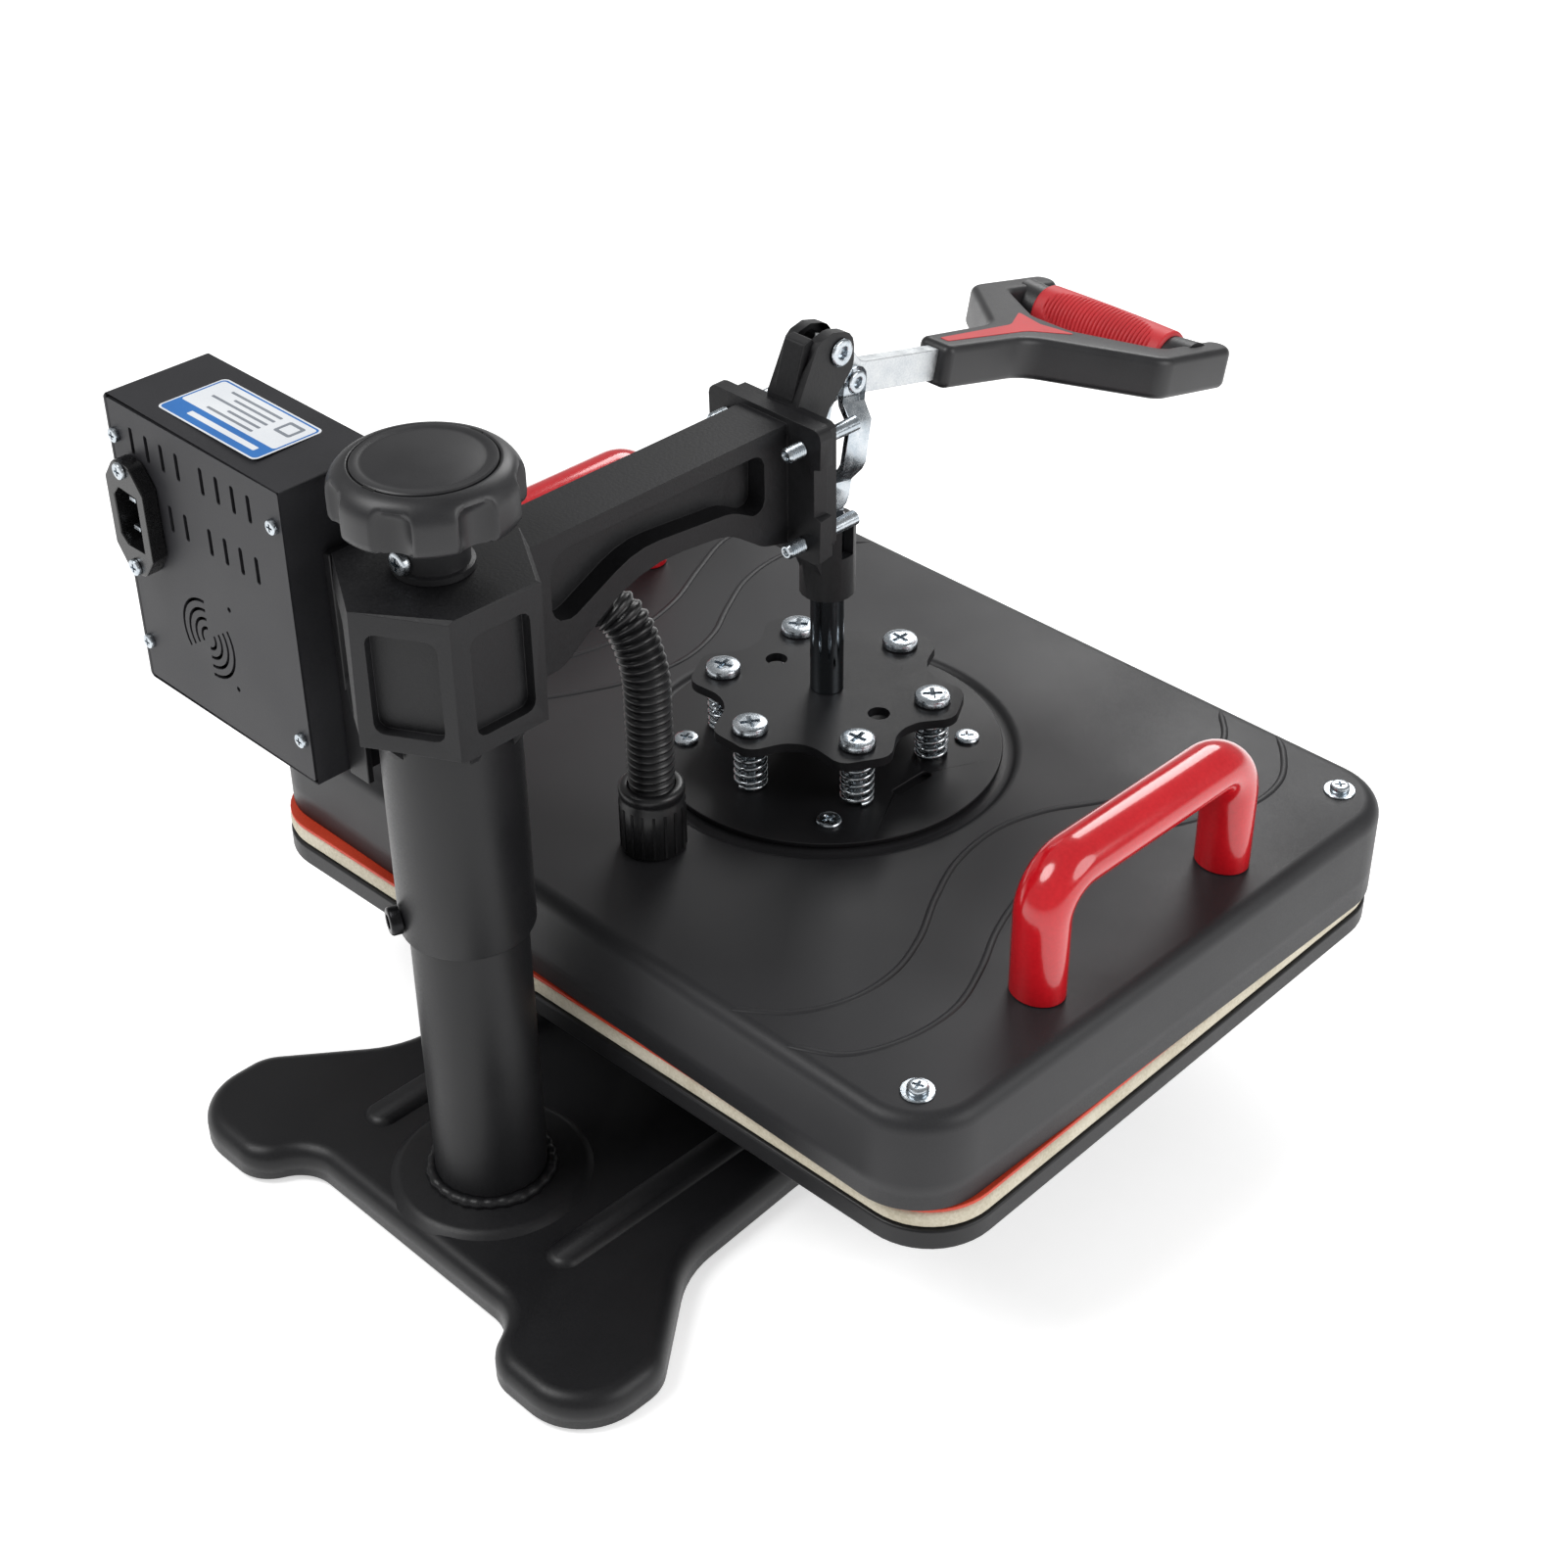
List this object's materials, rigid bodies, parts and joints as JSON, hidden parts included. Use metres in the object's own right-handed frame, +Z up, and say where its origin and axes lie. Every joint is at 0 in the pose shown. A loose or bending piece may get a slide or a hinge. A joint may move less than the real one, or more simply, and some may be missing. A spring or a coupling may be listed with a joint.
{
  "type": "swing-away heat press",
  "caption": "Swing-away flat heat press with a floating heated platen, toggle lever, pressure knob, padded lower platen and rear control box.",
  "frame": {"origin": "on the floor under the middle of the press's bounding box", "axes": "+Z up, +Y towards the column and the control box, +X the operator's right when standing at the lever (-Y) side"},
  "size_m": [0.3954, 0.45, 0.3399],
  "materials": {
    "black_powder_coat": "satin black powder coat with a fine orange-peel texture",
    "black_casting": "black painted casting, matte and slightly grainy",
    "dark_cover_coat": "dark grey-black matte coating on pressed sheet",
    "black_plastic": "moulded black plastic, semi-matte",
    "black_rubber": "matte black rubber",
    "zinc_plate": "bright zinc plate",
    "dark_chrome": "polished steel",
    "machined_steel": "machined steel, lightly oiled",
    "galvanised_bar": "light grey galvanised flat bar",
    "cast_aluminium": "ground aluminium heating plate",
    "red_gloss_plastic": "glossy red moulded plastic",
    "red_grip_rubber": "satin red soft grip",
    "red_silicone": "orange-red silicone sheet",
    "cream_foam": "cream silicone foam",
    "mineral_wool": "pale insulation felt",
    "green_board": "green circuit board",
    "smoked_window": "smoked display window"
  },
  "bodies": {
    "base": {"base_plate": "black_powder_coat", "foot_1": "black_rubber", "foot_2": "black_rubber", "foot_3": "black_rubber", "foot_4": "black_rubber", "column": "black_powder_coat", "column_nut": "machined_steel", "platen_stand": "black_powder_coat", "lower_platen": "black_powder_coat", "foam_pad": "cream_foam", "silicone_mat": "red_silicone"},
    "carriage": {"thrust_ring": "machined_steel"},
    "knob": {"pressure_knob": "black_plastic", "knob_cap": "black_plastic", "pressure_screw": "machined_steel"},
    "arm": {"arm_casting": "black_casting", "swing_sleeve": "black_powder_coat", "sleeve_screw": "zinc_plate", "box_bracket": "black_powder_coat", "box_shell": "black_powder_coat", "box_back_cover": "black_powder_coat", "front_panel": "black_plastic", "power_inlet": "black_plastic", "control_board": "green_board", "display_window": "smoked_window", "toggle_body": "black_casting", "pivot_pin": "zinc_plate", "conduit": "black_plastic", "box_gland": "black_plastic"},
    "rocker": {"power_rocker": "red_gloss_plastic"},
    "button_left": {"button_1": "black_plastic"},
    "button_middle": {"button_2": "black_plastic"},
    "button_right": {"button_3": "black_plastic"},
    "lever": {"lever_bar": "galvanised_bar", "handle_frame": "black_plastic", "grip_sleeve": "red_grip_rubber", "upper_link_pin": "zinc_plate"},
    "link": {"link_left": "zinc_plate", "link_right": "zinc_plate"},
    "plunger": {"plunger_rod": "dark_chrome", "spider_plate": "black_powder_coat", "float_spring_1": "zinc_plate", "float_spring_2": "zinc_plate", "float_spring_3": "zinc_plate", "float_spring_4": "zinc_plate", "float_spring_5": "zinc_plate", "float_spring_6": "zinc_plate"},
    "platen": {"platen_cover": "dark_cover_coat", "heater_plate": "cast_aluminium", "insulation": "mineral_wool", "mount_disc": "black_powder_coat", "pull_handle_left": "red_gloss_plastic", "pull_handle_right": "red_gloss_plastic", "platen_gland": "black_plastic", "float_bolt_1": "zinc_plate", "float_bolt_2": "zinc_plate", "float_bolt_3": "zinc_plate", "float_bolt_4": "zinc_plate", "float_bolt_5": "zinc_plate", "float_bolt_6": "zinc_plate"}
  },
  "joints": [
    {"name": "arm_lift", "type": "slide", "parent": "base", "child": "carriage", "axis": [0, 0, 1], "range_m": [0, 0.012]},
    {"name": "knob_spin", "type": "hinge", "parent": "carriage", "child": "knob", "pos_m": [0, 0.15996, 0.319], "axis": [0, 0, 1], "range_deg": [0, 2160.5]},
    {"name": "arm_swing", "type": "hinge", "parent": "carriage", "child": "arm", "pos_m": [0, 0.15996, 0.25], "axis": [0, 0, 1], "range_deg": [-110, 110]},
    {"name": "lever_hinge", "type": "hinge", "parent": "arm", "child": "lever", "pos_m": [0, -0.03104, 0.314], "axis": [-1, 0, 0], "range_deg": [0, 75]},
    {"name": "link_hinge", "type": "hinge", "parent": "lever", "child": "link", "pos_m": [0, -0.04204, 0.297], "axis": [-1, 0, 0], "range_deg": [-85.33, 0]},
    {"name": "plunger_slide", "type": "slide", "parent": "arm", "child": "plunger", "axis": [0, 0, 1], "range_m": [0, 0.02561], "deforming": ["conduit"]},
    {"name": "platen_float", "type": "slide", "parent": "plunger", "child": "platen", "axis": [0, 0, 1], "range_m": [0, 0.008], "stiffness_N_per_m": 20000, "springref_m": -0.002, "deforming": ["float_spring_1", "float_spring_2", "float_spring_3", "float_spring_4", "float_spring_5", "float_spring_6", "conduit"]},
    {"name": "rocker_tilt", "type": "hinge", "parent": "arm", "child": "rocker", "pos_m": [0.1065, 0.14806, 0.23], "axis": [1, 0, 0], "range_deg": [-20, 0]},
    {"name": "button_left_press", "type": "slide", "parent": "arm", "child": "button_left", "axis": [0, 1, 0], "range_m": [0, 0.0012], "stiffness_N_per_m": 400, "springref_m": -0.001},
    {"name": "button_middle_press", "type": "slide", "parent": "arm", "child": "button_middle", "axis": [0, 1, 0], "range_m": [0, 0.0012], "stiffness_N_per_m": 400, "springref_m": -0.001},
    {"name": "button_right_press", "type": "slide", "parent": "arm", "child": "button_right", "axis": [0, 1, 0], "range_m": [0, 0.0012], "stiffness_N_per_m": 400, "springref_m": -0.001}
  ],
  "couplings": [
    {"joint": "knob_spin", "follows": "arm_lift", "rad_per_m": 3141.6},
    {"joint": "link_hinge", "follows": "lever_hinge", "ratio": -1.1375},
    {"joint": "plunger_slide", "follows": "lever_hinge", "m_per_rad": 0.019553}
  ]
}
